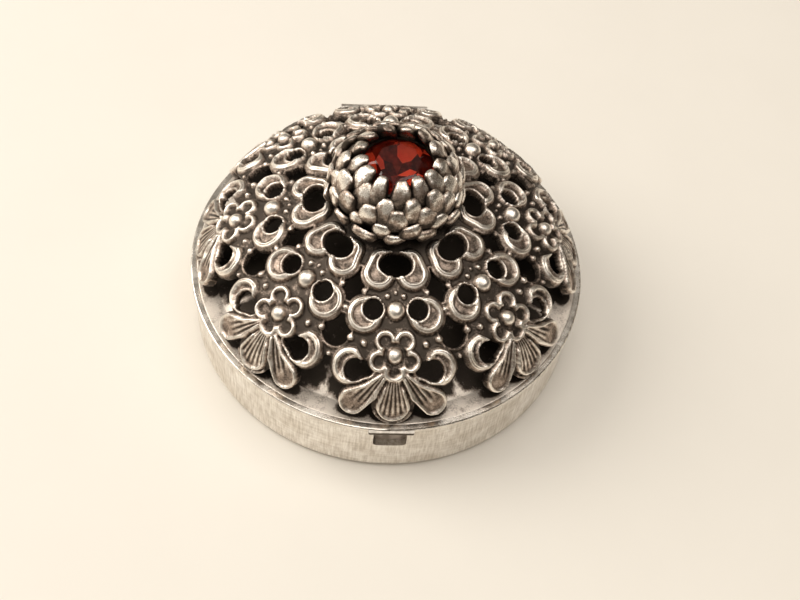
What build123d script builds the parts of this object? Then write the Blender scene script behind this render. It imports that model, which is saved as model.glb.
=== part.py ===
from build123d import *

import os
from math import acos, asin, atan2, cos, degrees, hypot, pi, sin, sqrt

# Round hinged box with an openwork dome and a flower knob on its lid.
# Millimetres, +Z up, origin at the centre of the bottom, front at -Y, hinge at +Y.

# Base: a drawn cup with a nail notch, and a collar inside its wall
wall_radius = 24.6
wall_thickness = 0.8
bottom_thickness = 0.8
bottom_rounding = 1.0
seam_height = 9.0
notch_width = 4.0
notch_depth = 3.6
notch_rounding = 0.5
collar_thickness = 0.6
collar_height = 5.5
collar_drop = 0.05

# Lid: a plate with a flat flange, a rim wire and a skirt that plugs into the collar
seam_gap = 0.1
lid_sheet = 0.7
lid_rise = 4.0
rim_overhang = 0.4
rim_width = 0.8
rim_rounding = 0.2
skirt_thickness = 0.6
skirt_depth = 1.6
skirt_clearance = 0.15
flange_margin = 0.6
lip_width = 5.4
lip_reach = 0.25
lip_rounding = 0.2
lip_thickness = 0.5

# Hinge: three knuckles on one pin behind the wall
hinge_width = 12.0
lid_knuckle_length = 4.0
knuckle_radius = 0.85
knuckle_end_gap = 0.15
pin_radius = 0.4
pin_proud = 0.25
pin_clearance = 0.05
swing_gap = 0.2
leaf_thickness = 0.7
leaf_height = 4.5
leaf_top_drop = 0.6

# Openwork dome: eight stamped lobes on a spherical crown with a round shoulder, whose arc is centred below the lid
lobe_count = 8
dome_sheet = 0.7
dome_height = 12.9
dome_margin = 0.2
shoulder_radius = 12.0
shoulder_drop = 3.0
relief = 0.4
bite = 1.2

# Flower: rings of petals round a bezel cup, riveted to the dome
petal_count = 13
petal_share = 0.88
petal_sheet = 0.35
tip_round_share = 0.8
calyx_radius = 6.2
calyx_thickness = 0.6
ring_thickness = 0.3
ring_overlap = 0.1
ring_clearance = 0.05
cup_radius = 4.7
cup_floor = 0.35
bezel_lip = 0.15
post_radius = 1.0
post_clearance = 0.05
washer_radius = 3.0
washer_thickness = 0.5
rivet_head_radius = 1.9
rivet_head_height = 0.7

# Each tier from the lowest up: reach of its foot and tips outside the cup, rise of its tips, bulge
tier_foot_reach = (2.25, 1.85, 1.45, 0.95, 0.45)
tier_tip_reach = (3.20, 2.80, 2.10, 0.80, -0.80)
tier_tip_rise = (1.6, 2.9, 4.3, 5.6, 6.7)
tier_bulge = (0.25, 0.40, 0.60, 0.90, 1.10)

# Stone: a round brilliant, with its girdle facets steeper by a small angle in radians
gem_radius = 4.4
gem_clearance = 0.05
girdle_height = 0.25
crown_height = 1.25
table_radius = 2.5
pavilion_height = 3.75
culet_gap = 0.1
facet_count = 8
girdle_facet_step = 0.08

# Levels and radii that follow from the sizes above
cup_inner_radius = wall_radius - wall_thickness
collar_inner_radius = cup_inner_radius - collar_thickness
rim_radius = wall_radius + rim_overhang
plate_radius = rim_radius - rim_width
skirt_radius = collar_inner_radius - skirt_clearance
flange_inner_radius = skirt_radius - skirt_thickness - flange_margin
lid_bottom = seam_height + seam_gap
lid_top = lid_bottom + lid_sheet
hinge_y = rim_radius + knuckle_radius + swing_gap
hinge_z = lid_bottom + lid_sheet / 2

# Dome section: the crown arc runs tangent into the shoulder arc, which ends steep at its foot
dome_radius = plate_radius - dome_margin
shoulder_center = dome_radius - sqrt(shoulder_radius**2 - shoulder_drop**2)
shoulder_level = lid_top - shoulder_drop
crown_rise = dome_height + shoulder_drop
crown_radius = (shoulder_center**2 + crown_rise**2 - shoulder_radius**2) / (
    2 * (crown_rise - shoulder_radius)
)
crown_angle = asin(shoulder_center / (crown_radius - shoulder_radius))
foot_angle = acos(shoulder_drop / shoulder_radius)
crown_length = crown_radius * crown_angle
dome_length = crown_length + shoulder_radius * (foot_angle - crown_angle)
dome_top = lid_top + dome_height

# Flower levels
flower_base = dome_top + calyx_thickness
gem_culet = flower_base + cup_floor + culet_gap
girdle_bottom = gem_culet + pavilion_height
girdle_top = girdle_bottom + girdle_height
gem_table = girdle_top + crown_height

# Scrolls of the lobe's flat pattern: centre across and out from the crown, radius, hollow's radius and its shift
heart_scroll = (2.1, 11.1, 2.05, 1.45, -0.75, -0.70)
bead_scroll = (3.9, 16.1, 2.20, 1.45, -1.10, -0.75)
side_scroll = (5.9, 21.8, 2.60, 1.70, -0.90, 0.85)

# Holes: centre across and out, half width and half length
heart_hole = (0.0, 10.1, 1.9, 1.45)
oval_hole = (2.7, 15.3, 1.2, 1.25)
side_hole = (4.9, 22.6, 1.5, 1.3)
upper_gap_hole = (13.5, 1.05, 1.6)
lower_gap_hole = (19.2, 1.4, 1.7)

# Beads, and the flower and fan of each lobe
bead_out = 15.6
bead_radius = 1.15
rosette_out = 20.9
rosette_bead_radius = 1.0
rosette_petal_reach = 2.25
rosette_petal_radius = 1.15
rosette_petals = 5
fan_middle = (26.8, 2.0, 2.6)
fan_side = (5.2, 25.5, 3.0, 1.5, 28.0)
fan_margin = 0.6

# Open gap between two lobes: top, half widths and where it starts to flare
gap_top = 22.1
gap_half_width = 1.75
gap_flare_start = 26.7
gap_foot_half_width = 4.4

# The pattern ends a margin below its fan, and is scaled to the dome from crown to foot
pattern_length = fan_middle[0] + fan_middle[2] + fan_margin
lobe_unit = dome_length / pattern_length

os.makedirs("parts", exist_ok=True)


def finish(builder, name):
    """Labels a finished piece and writes it."""
    builder.part.label = name
    export_step(builder.part, f"parts/{name}.step")


def cap_middle(reach, top, radius):
    """Point half way along an arc that runs from the axis at a top level out to a reach."""
    half_angle = asin(reach / radius) / 2
    return (radius * sin(half_angle), top - radius * (1 - cos(half_angle)))


def dome_body(lift):
    """Solid bounded by the dome's outer surface moved outward by a lift."""
    crown = crown_radius + lift
    shoulder = shoulder_radius + lift
    top = (0, dome_top + lift)
    join = (crown * sin(crown_angle), dome_top - crown_radius + crown * cos(crown_angle))
    foot = (shoulder_center + sqrt(shoulder**2 - shoulder_drop**2), lid_top)
    middle_angle = (crown_angle + acos(shoulder_drop / shoulder)) / 2
    shoulder_middle = (
        shoulder_center + shoulder * sin(middle_angle),
        shoulder_level + shoulder * cos(middle_angle),
    )
    with BuildPart() as body:
        with BuildSketch(Plane.XZ):
            with BuildLine():
                ThreePointArc(top, cap_middle(join[0], top[1], crown), join)
                ThreePointArc(join, shoulder_middle, foot)
                Polyline(foot, (0, lid_top), top)
            make_face()
        revolve(axis=Axis.Z)
    return body.part


def lobe_plane(across, out):
    """Plane that touches the dome at a place of the flat lobe: x across the lobe, y to the crown."""
    length = hypot(across, out) * lobe_unit
    turn = atan2(across, out)
    if length < crown_length:
        tilt = length / crown_radius
        radius = crown_radius * sin(tilt)
        height = dome_top - crown_radius * (1 - cos(tilt))
    else:
        tilt = crown_angle + (length - crown_length) / shoulder_radius
        radius = shoulder_center + shoulder_radius * sin(tilt)
        height = shoulder_level + shoulder_radius * cos(tilt)
    around = Vector(cos(turn), sin(turn), 0)
    down = Vector(cos(tilt) * sin(turn), -cos(tilt) * cos(turn), -sin(tilt))
    normal = Vector(sin(tilt) * sin(turn), -sin(tilt) * cos(turn), cos(tilt))
    origin = Vector(radius * sin(turn), -radius * cos(turn), height)
    return Plane(origin, x_dir=around * cos(turn) + down * sin(turn), z_dir=normal)


def gap_place(out):
    """Flat place on the line half way between two lobes."""
    half_pitch = pi / lobe_count
    return (out * sin(half_pitch), out * cos(half_pitch))


# Base cup with its rounded bottom edge and the nail notch at the front
with BuildPart() as base_cup:
    with BuildSketch(Plane.XZ) as cup_section:
        with BuildLine():
            Polyline(
                (0, 0),
                (wall_radius, 0),
                (wall_radius, seam_height),
                (cup_inner_radius, seam_height),
                (cup_inner_radius, bottom_thickness),
                (0, bottom_thickness),
                (0, 0),
            )
        make_face()
        fillet(cup_section.vertices().sort_by_distance((wall_radius, 0))[0], bottom_rounding)
    revolve(axis=Axis.Z)
    with BuildSketch(Plane.XZ.offset(cup_inner_radius - wall_thickness)) as notch:
        with Locations((0, seam_height - notch_depth)):
            Rectangle(notch_width, 2 * notch_depth, align=(Align.CENTER, Align.MIN))
        fillet(notch.vertices().group_by(Axis.Z)[0], notch_rounding)
    extrude(amount=3 * wall_thickness, mode=Mode.SUBTRACT)
finish(base_cup, "base_cup")

# Collar soldered inside the wall, seen through the notch
with BuildPart() as inner_collar:
    with BuildSketch(Plane.XY.offset(seam_height - collar_drop)):
        Circle(cup_inner_radius)
        Circle(collar_inner_radius, mode=Mode.SUBTRACT)
    extrude(amount=-collar_height)
finish(inner_collar, "inner_collar")

# Base leaf: a plate fitted to the wall that carries the two outer knuckles
with BuildPart() as hinge_leaf_base:
    leaf_inside = sqrt(wall_radius**2 - (hinge_width / 2) ** 2) - wall_thickness / 2
    leaf_top = seam_height - leaf_top_drop
    with BuildSketch(Plane.YZ):
        with BuildLine():
            Polyline(
                (leaf_inside, leaf_top - leaf_height),
                (wall_radius + leaf_thickness, leaf_top - leaf_height),
                (hinge_y, hinge_z - knuckle_radius),
                (hinge_y, hinge_z),
                (wall_radius, leaf_top),
                (leaf_inside, leaf_top),
                (leaf_inside, leaf_top - leaf_height),
            )
        make_face()
        with Locations((hinge_y, hinge_z)):
            Circle(knuckle_radius)
    extrude(amount=hinge_width / 2, both=True)
    with BuildSketch(Plane.YZ):
        with Locations((hinge_y, hinge_z)):
            Circle(knuckle_radius + swing_gap)
    extrude(amount=lid_knuckle_length / 2 + knuckle_end_gap, both=True, mode=Mode.SUBTRACT)
    with BuildSketch(Plane.YZ):
        with Locations((hinge_y, hinge_z)):
            Circle(pin_radius)
    extrude(amount=hinge_width, both=True, mode=Mode.SUBTRACT)
    with BuildSketch(Plane.XY):
        Circle(wall_radius)
    extrude(amount=hinge_z, mode=Mode.SUBTRACT)
finish(hinge_leaf_base, "hinge_leaf_base")

# Hinge pin with rounded ends
with BuildPart() as hinge_pin:
    with BuildSketch(Plane.YZ):
        with Locations((hinge_y, hinge_z)):
            Circle(pin_radius)
    extrude(amount=hinge_width / 2 + pin_proud, both=True)
    fillet(hinge_pin.edges().filter_by(GeomType.CIRCLE), pin_radius / 2)
finish(hinge_pin, "hinge_pin")

# Plain lid plate: a flat flange round a shallow dome
with BuildPart() as lid_plate:
    lid_cap_radius = (flange_inner_radius**2 + lid_rise**2) / (2 * lid_rise)
    with BuildSketch(Plane.XZ):
        with BuildLine():
            ThreePointArc(
                (0, lid_bottom + lid_rise),
                cap_middle(flange_inner_radius, lid_bottom + lid_rise, lid_cap_radius),
                (flange_inner_radius, lid_bottom),
            )
            Polyline(
                (flange_inner_radius, lid_bottom),
                (plate_radius, lid_bottom),
                (plate_radius, lid_top),
                (flange_inner_radius, lid_top),
            )
            ThreePointArc(
                (flange_inner_radius, lid_top),
                cap_middle(flange_inner_radius, lid_top + lid_rise, lid_cap_radius),
                (0, lid_top + lid_rise),
            )
            Line((0, lid_top + lid_rise), (0, lid_bottom + lid_rise))
        make_face()
    revolve(axis=Axis.Z)
finish(lid_plate, "lid_plate")

# Rim wire round the edge of the plate
with BuildPart() as lid_rim:
    with BuildSketch(Plane.XZ) as rim_section:
        with Locations((plate_radius, lid_bottom)):
            Rectangle(rim_width, lid_sheet, align=(Align.MIN, Align.MIN))
        fillet(rim_section.vertices().group_by(Axis.X)[-1], rim_rounding)
    revolve(axis=Axis.Z)
finish(lid_rim, "lid_rim")

# Skirt under the flange that plugs into the collar
with BuildPart() as lid_skirt:
    with BuildSketch(Plane.XY.offset(lid_bottom)):
        Circle(skirt_radius)
        Circle(skirt_radius - skirt_thickness, mode=Mode.SUBTRACT)
    extrude(amount=-skirt_depth - seam_gap)
finish(lid_skirt, "lid_skirt")

# Thumb lip on the rim above the notch
with BuildPart() as thumb_lip:
    lip_sag = rim_radius - sqrt(rim_radius**2 - (lip_width / 2) ** 2)
    with BuildSketch(Plane.XY.offset(lid_bottom + (lid_sheet - lip_thickness) / 2)) as lip:
        with Locations((0, -rim_radius - lip_reach)):
            Rectangle(lip_width, lip_reach + 2 * lip_sag, align=(Align.CENTER, Align.MIN))
        fillet(lip.vertices().group_by(Axis.Y)[0], lip_rounding)
        Circle(rim_radius, mode=Mode.SUBTRACT)
    extrude(amount=lip_thickness)
finish(thumb_lip, "thumb_lip")

# Lid leaf: a pad fitted to the rim that carries the middle knuckle
with BuildPart() as hinge_leaf_lid:
    with BuildSketch(Plane.YZ):
        with Locations((rim_radius - rim_width / 2, hinge_z)):
            Rectangle(hinge_y - rim_radius + rim_width / 2, lid_sheet, align=(Align.MIN, Align.CENTER))
        with Locations((hinge_y, hinge_z)):
            Circle(knuckle_radius)
            Circle(pin_radius + pin_clearance, mode=Mode.SUBTRACT)
    extrude(amount=lid_knuckle_length / 2, both=True)
    with BuildSketch(Plane.XY.offset(seam_height)):
        Circle(rim_radius)
    extrude(amount=lid_sheet + 2 * seam_gap, mode=Mode.SUBTRACT)
finish(hinge_leaf_lid, "hinge_leaf_lid")

# Bodies of the dome: out to its surface, and the hollow below its sheet
sheet_body = dome_body(0)
hollow_body = dome_body(-dome_sheet)

# Raised ornament of one lobe: scrolls, a flower and a fan of three petals
with BuildPart() as lobe_relief:
    for side in (-1, 1):
        for across, out, radius, hollow, shift_across, shift_out in (heart_scroll, bead_scroll, side_scroll):
            with BuildSketch(lobe_plane(side * across, out).offset(-bite)):
                Circle(radius * lobe_unit)
                with Locations((side * shift_across * lobe_unit, -shift_out * lobe_unit)):
                    Circle(hollow * lobe_unit, mode=Mode.SUBTRACT)
            extrude(amount=bite + relief)
        across, out, half_length, half_width, lean = fan_side
        with BuildSketch(lobe_plane(side * across, out).offset(-bite)):
            Ellipse(half_length * lobe_unit, half_width * lobe_unit, rotation=side * -lean)
        extrude(amount=bite + relief)
    with BuildSketch(lobe_plane(0, fan_middle[0]).offset(-bite)):
        Ellipse(fan_middle[1] * lobe_unit, fan_middle[2] * lobe_unit)
    extrude(amount=bite + relief)
    with BuildSketch(lobe_plane(0, rosette_out).offset(-bite)):
        with PolarLocations(rosette_petal_reach * lobe_unit, rosette_petals, start_angle=-90):
            Circle(rosette_petal_radius * lobe_unit)
    extrude(amount=bite + relief)

# Beads of one lobe
with BuildPart() as lobe_beads:
    with Locations(lobe_plane(0, bead_out).origin):
        Sphere(bead_radius * lobe_unit)
    with Locations(lobe_plane(0, rosette_out).origin):
        Sphere(rosette_bead_radius * lobe_unit)

# Openings of one lobe: its own holes, the two holes beside it and the gap down to the foot
with BuildPart() as lobe_openings:
    reach = dome_sheet + 4 * relief
    across, out, half_width, half_length = heart_hole
    with BuildSketch(lobe_plane(across, out)):
        Ellipse(half_width * lobe_unit, half_length * lobe_unit)
    extrude(amount=reach, both=True)
    for side in (-1, 1):
        for across, out, half_width, half_length in (oval_hole, side_hole):
            with BuildSketch(lobe_plane(side * across, out)):
                Ellipse(half_width * lobe_unit, half_length * lobe_unit)
            extrude(amount=reach, both=True)
    between_turn = 180 / lobe_count
    for out, half_width, half_length in (upper_gap_hole, lower_gap_hole):
        with BuildSketch(lobe_plane(*gap_place(out))):
            Ellipse(half_width * lobe_unit, half_length * lobe_unit, rotation=between_turn)
        extrude(amount=reach, both=True)
    gap_middle = (gap_top + pattern_length) / 2
    with BuildSketch(lobe_plane(*gap_place(gap_middle))):
        with BuildLine(Plane.XY.rotated((0, 0, between_turn))):
            shoulder_y = (gap_middle - gap_top - gap_half_width) * lobe_unit
            flare_y = (gap_middle - gap_flare_start) * lobe_unit
            foot_y = -(pattern_length - gap_middle) * lobe_unit
            half_top = gap_half_width * lobe_unit
            half_foot = gap_foot_half_width * lobe_unit
            ThreePointArc((-half_top, shoulder_y), (0, shoulder_y + half_top), (half_top, shoulder_y))
            Polyline(
                (half_top, shoulder_y),
                (half_top, flare_y),
                (half_foot, foot_y),
                (-half_foot, foot_y),
                (-half_top, flare_y),
                (-half_top, shoulder_y),
            )
        make_face()
    extrude(amount=reach, both=True)

# Stamped openwork dome
with BuildPart() as filigree_dome:
    add(sheet_body)
    with PolarLocations(0, lobe_count):
        add(lobe_relief.part)
        add(lobe_beads.part)
    add(hollow_body, mode=Mode.SUBTRACT)
    with PolarLocations(0, lobe_count):
        add(lobe_openings.part, mode=Mode.SUBTRACT)
    with BuildSketch(Plane.XY.offset(lid_top)):
        Circle(post_radius + post_clearance)
    extrude(amount=2 * dome_height, mode=Mode.SUBTRACT)
finish(filigree_dome, "filigree_dome")

# Seat of the flower, dished to the crown of the dome
with BuildPart() as flower_calyx:
    with BuildSketch(Plane.XZ):
        calyx_drop = crown_radius - sqrt(crown_radius**2 - calyx_radius**2)
        with BuildLine():
            ThreePointArc(
                (0, dome_top),
                cap_middle(calyx_radius, dome_top, crown_radius),
                (calyx_radius, dome_top - calyx_drop),
            )
            Polyline(
                (calyx_radius, dome_top - calyx_drop),
                (calyx_radius, flower_base),
                (0, flower_base),
                (0, dome_top),
            )
        make_face()
    revolve(axis=Axis.Z)
    with BuildSketch(Plane.XY.offset(dome_top - calyx_drop)):
        Circle(post_radius + post_clearance)
    extrude(amount=calyx_thickness + calyx_drop, mode=Mode.SUBTRACT)
finish(flower_calyx, "flower_calyx")

# Washer inside the dome, dished to its underside
with BuildPart() as rivet_washer:
    inner_crown = crown_radius - dome_sheet
    washer_top = dome_top - dome_sheet
    washer_drop = inner_crown - sqrt(inner_crown**2 - washer_radius**2)
    with BuildSketch(Plane.XZ):
        with BuildLine():
            ThreePointArc(
                (0, washer_top),
                cap_middle(washer_radius, washer_top, inner_crown),
                (washer_radius, washer_top - washer_drop),
            )
            Polyline(
                (washer_radius, washer_top - washer_drop),
                (washer_radius, washer_top - washer_thickness),
                (0, washer_top - washer_thickness),
                (0, washer_top),
            )
        make_face()
    revolve(axis=Axis.Z)
    with BuildSketch(Plane.XY.offset(washer_top - washer_thickness)):
        Circle(post_radius + post_clearance)
    extrude(amount=washer_thickness, mode=Mode.SUBTRACT)
finish(rivet_washer, "rivet_washer")

# Rivet post from the cup's underside to its head below the washer
with BuildPart() as flower_post:
    head_top = washer_top - washer_thickness
    with BuildSketch(Plane.XZ):
        with BuildLine():
            Polyline(
                (0, head_top - rivet_head_height),
                (0, flower_base),
                (post_radius, flower_base),
                (post_radius, head_top),
                (rivet_head_radius, head_top),
            )
            head_sphere = (rivet_head_radius**2 + rivet_head_height**2) / (2 * rivet_head_height)
            head_middle = cap_middle(rivet_head_radius, 0, head_sphere)
            ThreePointArc(
                (rivet_head_radius, head_top),
                (head_middle[0], head_top - rivet_head_height - head_middle[1]),
                (0, head_top - rivet_head_height),
            )
        make_face()
    revolve(axis=Axis.Z)
finish(flower_post, "flower_post")

# Bezel cup with a seat for the stone's pavilion and a lip over its girdle
with BuildPart() as stone_cup:
    seat_slope = pavilion_height / gem_radius
    bore_radius = gem_radius - (gem_radius - table_radius) / 3
    bezel_radius = gem_radius + gem_clearance
    lip_top = girdle_top + bezel_lip
    with BuildSketch(Plane.XZ):
        with BuildLine():
            Polyline(
                (0, flower_base),
                (cup_radius, flower_base),
                (cup_radius, lip_top),
                (bezel_radius - bezel_lip / 2, lip_top),
                (bezel_radius, girdle_top + gem_clearance),
                (bezel_radius, girdle_bottom - gem_clearance),
                (bore_radius, girdle_bottom - gem_clearance - (bezel_radius - bore_radius) * seat_slope),
                (bore_radius, flower_base + cup_floor),
                (0, flower_base + cup_floor),
                (0, flower_base),
            )
        make_face()
    revolve(axis=Axis.Z)
finish(stone_cup, "stone_cup")

# Round brilliant: table, crown facets, girdle and pavilion facets
with BuildPart() as gem:
    girdle_sides = 2 * facet_count
    girdle_apothem = gem_radius * cos(pi / girdle_sides)
    with BuildSketch(Plane.XY.offset(gem_culet)):
        RegularPolygon(gem_radius, girdle_sides)
    extrude(amount=gem_table - gem_culet)
    crown_slope = atan2(crown_height, girdle_apothem - table_radius)
    pavilion_slope = atan2(pavilion_height, girdle_apothem)
    facet_rows = (
        (facet_count, crown_slope, 1, girdle_top),
        (girdle_sides, crown_slope + girdle_facet_step, 1, girdle_top),
        (facet_count, pavilion_slope, -1, girdle_bottom),
        (girdle_sides, pavilion_slope + girdle_facet_step, -1, girdle_bottom),
    )
    for count, slope, upward, level in facet_rows:
        for step in range(count):
            turn = 2 * pi * (step + 0.5) / count
            normal = Vector(sin(slope) * cos(turn), sin(slope) * sin(turn), upward * cos(slope))
            touch = Vector(girdle_apothem * cos(turn), girdle_apothem * sin(turn), level)
            split(bisect_by=Plane(touch, z_dir=normal), keep=Keep.BOTTOM)
finish(gem, "gem")


def petal_tier(index):
    """One stamped rosette: a ring round the cup with cupped petals that rise from its edge."""
    foot_level = flower_base + index * ring_thickness
    foot = Vector(cup_radius + tier_foot_reach[index], foot_level + ring_thickness / 2)
    tip = Vector(cup_radius + tier_tip_reach[index], flower_base + tier_tip_rise[index])
    along = (tip - foot).normalized()
    inward = Vector(-along.Y, along.X)
    outer_middle = (foot + tip) / 2 - inward * tier_bulge[index]
    skin = inward * petal_sheet
    half_pitch = pi / petal_count
    tip_round = min(tip.X * sin(half_pitch) * petal_share, tip_round_share * (tip - foot).length)
    foot_half_width = foot.X * sin(half_pitch) * petal_share
    petal_face = Plane((foot.X, 0, foot.Y), x_dir=(0, 1, 0), z_dir=(along.Y, 0, -along.X))
    with BuildPart() as petal:
        with BuildSketch(Plane.XZ):
            with BuildLine():
                ThreePointArc(foot, outer_middle, tip)
                Line(tip, tip + skin)
                ThreePointArc(tip + skin, outer_middle + skin, foot + skin)
                Line(foot + skin, foot)
            make_face()
        revolve(axis=Axis.Z)
        with BuildSketch(petal_face):
            with Locations((0, (tip - foot).length - tip_round)):
                Circle(tip_round)
            Circle(foot_half_width)
            make_hull()
        extrude(amount=cup_radius / 2, both=True, mode=Mode.INTERSECT)
    with BuildPart() as tier:
        with BuildSketch(Plane.XY.offset(foot_level)):
            Circle(foot.X + ring_overlap)
            Circle(cup_radius + ring_clearance, mode=Mode.SUBTRACT)
        extrude(amount=ring_thickness)
        with PolarLocations(0, petal_count, start_angle=degrees(half_pitch) * (index % 2)):
            add(petal.part)
    return tier


for tier_index in range(len(tier_tip_rise)):
    finish(petal_tier(tier_index), f"petal_tier_{tier_index + 1}")
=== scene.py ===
import math

import bmesh
import bpy
import numpy as np
from mathutils import Matrix, Vector


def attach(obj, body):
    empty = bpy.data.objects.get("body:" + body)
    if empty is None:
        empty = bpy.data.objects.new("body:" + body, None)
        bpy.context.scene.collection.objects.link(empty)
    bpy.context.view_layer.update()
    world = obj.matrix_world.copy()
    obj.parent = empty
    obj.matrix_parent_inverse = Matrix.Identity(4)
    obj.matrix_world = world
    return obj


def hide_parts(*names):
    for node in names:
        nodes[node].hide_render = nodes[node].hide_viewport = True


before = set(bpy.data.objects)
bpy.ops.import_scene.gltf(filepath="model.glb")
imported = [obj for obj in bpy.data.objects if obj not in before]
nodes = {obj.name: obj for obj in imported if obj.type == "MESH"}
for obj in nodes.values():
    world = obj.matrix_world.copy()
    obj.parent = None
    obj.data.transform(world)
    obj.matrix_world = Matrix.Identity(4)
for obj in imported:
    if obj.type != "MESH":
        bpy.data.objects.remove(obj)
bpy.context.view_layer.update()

# Sizes shared with the solids, in millimetres
MM = 0.001
LOBES = 8
DOME_RADIUS = 24.0
DOME_HEIGHT = 12.9
SHOULDER = 12.0
SHOULDER_DROP = 3.0
LID_BOTTOM = 9.1
LID_TOP = 9.8
PLATE_RADIUS = 24.2
FLANGE_RADIUS = 21.85
LID_RISE = 4.0
DOME_TOP = LID_TOP + DOME_HEIGHT
FLOWER_BASE = DOME_TOP + 0.6
CUP_RADIUS = 4.7
PETALS = 13
RING = 0.3
FOOT_REACH = (2.25, 1.85, 1.45, 0.95, 0.45)
TIP_REACH = (3.20, 2.80, 2.10, 0.80, -0.80)
TIP_RISE = (1.6, 2.9, 4.3, 5.6, 6.7)
BULGE = (0.25, 0.40, 0.60, 0.90, 1.10)
PETAL_SHARE = (0.76, 0.78, 0.82, 0.90, 0.97)
BACK_FLARE = (0.2, 0.3, 0.5, 0.6, 0.5)
FLOWER_HEIGHT = 6.85
CUP_FLOOR = 0.35
STONE_CLEARANCE = 0.1

# Flat pattern of one lobe, in units of which thirty reach from the crown to the edge of the dome
PATTERN_LENGTH = 30.0
PATTERN_SPREAD = 0.42
ROSETTE_OUT = 20.58
PETAL_OUT = 2.08
FLUTE_START = 21.2
HEART_BAND = 0.98
BEAD_BAND = 0.95
SIDE_BAND = 1.0
BAND_HEIGHT = 0.76
SCROLL_FLOOR = 0.28
SHEET = 0.7

# Section of the dome: a crown arc tangent to a shoulder arc, whose centre lies below the lid
SHOULDER_AT = DOME_RADIUS - math.sqrt(SHOULDER**2 - SHOULDER_DROP**2)
SHOULDER_LEVEL = LID_TOP - SHOULDER_DROP
RISE = DOME_TOP - SHOULDER_LEVEL
CROWN = (SHOULDER_AT**2 + RISE**2 - SHOULDER**2) / (2 * (RISE - SHOULDER))
CROWN_ANGLE = math.asin(SHOULDER_AT / (CROWN - SHOULDER))
CROWN_LENGTH = CROWN * CROWN_ANGLE
DOME_LENGTH = CROWN_LENGTH + SHOULDER * (math.acos(SHOULDER_DROP / SHOULDER) - CROWN_ANGLE)
UNIT = DOME_LENGTH / PATTERN_LENGTH


def new_object(name, verts, faces, material, smooth=True):
    """Makes a mesh object from points in millimetres."""
    mesh = bpy.data.meshes.new(name)
    mesh.from_pydata((np.asarray(verts) * MM).tolist(), [], faces)
    mesh.validate()
    mesh.polygons.foreach_set("use_smooth", [smooth] * len(mesh.polygons))
    mesh.materials.append(material)
    mesh.update()
    obj = bpy.data.objects.new(name, mesh)
    bpy.context.scene.collection.objects.link(obj)
    return obj


def point_values(obj, name, values):
    """Stores one number for each point of a mesh."""
    layer = obj.data.attributes.new(name, "FLOAT", "POINT")
    layer.data.foreach_set("value", np.asarray(values, dtype=np.float32))


def smooth_step(low, high, x):
    t = np.clip((x - low) / (high - low), 0, 1)
    return t * t * (3 - 2 * t)


# Flat shapes of the lobe, as distances that are negative inside
def circle(x, y, cx, cy, r):
    return np.hypot(x - cx, y - cy) - r


def oval(x, y, cx, cy, rx, ry):
    k = np.hypot((x - cx) / rx, (y - cy) / ry)
    return (k - 1) * min(rx, ry)


def taper(x, y, ax, ay, ra, bx, by, rb):
    """Distance to a bar that swells from one end to the other."""
    dx, dy = bx - ax, by - ay
    t = np.clip(((x - ax) * dx + (y - ay) * dy) / (dx * dx + dy * dy), 0, 1)
    return np.hypot(x - ax - t * dx, y - ay - t * dy) - ra - t * (rb - ra)


def ridge(d, middle, half, height):
    """Round bead of metal along a line at a given distance."""
    k = (d - middle) / half
    return height * np.sqrt(np.clip(1 - k * k, 0, 1))


def ball(x, y, cx, cy, r, lift=1.0):
    return lift * np.sqrt(np.clip(r * r - (x - cx) ** 2 - (y - cy) ** 2, 0, None))


def band(d, width, height):
    """Broad band along the inner side of an edge: a long outer slope and a steep drop at its inner end."""
    depth = -d
    rise = np.clip(depth / (0.78 * width), 0, 1)
    rise = 0.55 * np.sin(rise * np.pi / 2) + 0.45 * np.sqrt(np.clip(1 - (1 - rise) ** 2, 0, 1))
    return height * rise * smooth_step(width + 0.08, width - 0.10, depth) * (depth > 0)


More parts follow.
